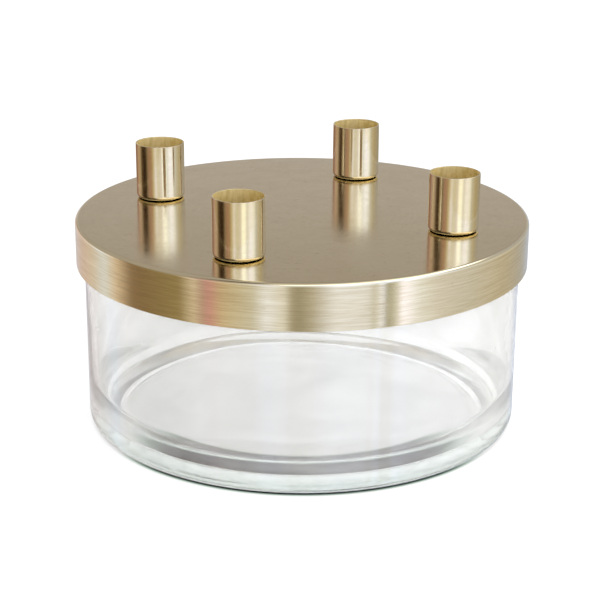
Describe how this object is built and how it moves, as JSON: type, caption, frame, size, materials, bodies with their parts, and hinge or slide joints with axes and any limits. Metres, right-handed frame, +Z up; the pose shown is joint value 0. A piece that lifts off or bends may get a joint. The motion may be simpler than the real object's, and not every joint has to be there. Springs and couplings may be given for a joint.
{
  "type": "flower frog",
  "caption": "Round clear glass bowl with a brushed brass pan lid; open brass cups on the lid hold stems upright and let them down into the water.",
  "frame": {"origin": "middle of the bowl's foot, on the surface that it stands on", "axes": "+Z up along the bowl's axis; -Y is the side that the front left cup is nearest to"},
  "size_m": [0.21, 0.21, 0.1236],
  "materials": {
    "clear_glass": "clear soda-lime glass, fire-polished rim, faint green tint in the thick corner",
    "silicone": "translucent silicone, matt",
    "brushed_brass": "pale brass, satin, brushed round the skirt, clear lacquer",
    "cup_brass": "pale brass, satin outside, warmer and unpolished inside, clear lacquer",
    "rivet_brass": "plain brass, as stamped",
    "washer_brass": "plain brass, as stamped"
  },
  "bodies": {
    "bowl": {"glass_bowl": "clear_glass"},
    "gasket": {"rim_gasket": "silicone"},
    "lid": {"lid_pan": "brushed_brass", "front_left_cup": "cup_brass", "right_cup": "cup_brass", "back_cup": "cup_brass", "back_left_cup": "cup_brass", "front_left_rivet": "rivet_brass", "right_rivet": "rivet_brass", "back_rivet": "rivet_brass", "back_left_rivet": "rivet_brass", "front_left_washer": "washer_brass", "right_washer": "washer_brass", "back_washer": "washer_brass", "back_left_washer": "washer_brass"}
  },
  "joints": [
    {"name": "lid_lift", "type": "slide", "parent": "bowl", "child": "gasket", "axis": [0, 0, 1], "range_m": [0, 0.1]},
    {"name": "lid_turn", "type": "hinge", "parent": "gasket", "child": "lid", "pos_m": [0, 0, 0.097], "axis": [0, 0, 1], "continuous": true}
  ]
}
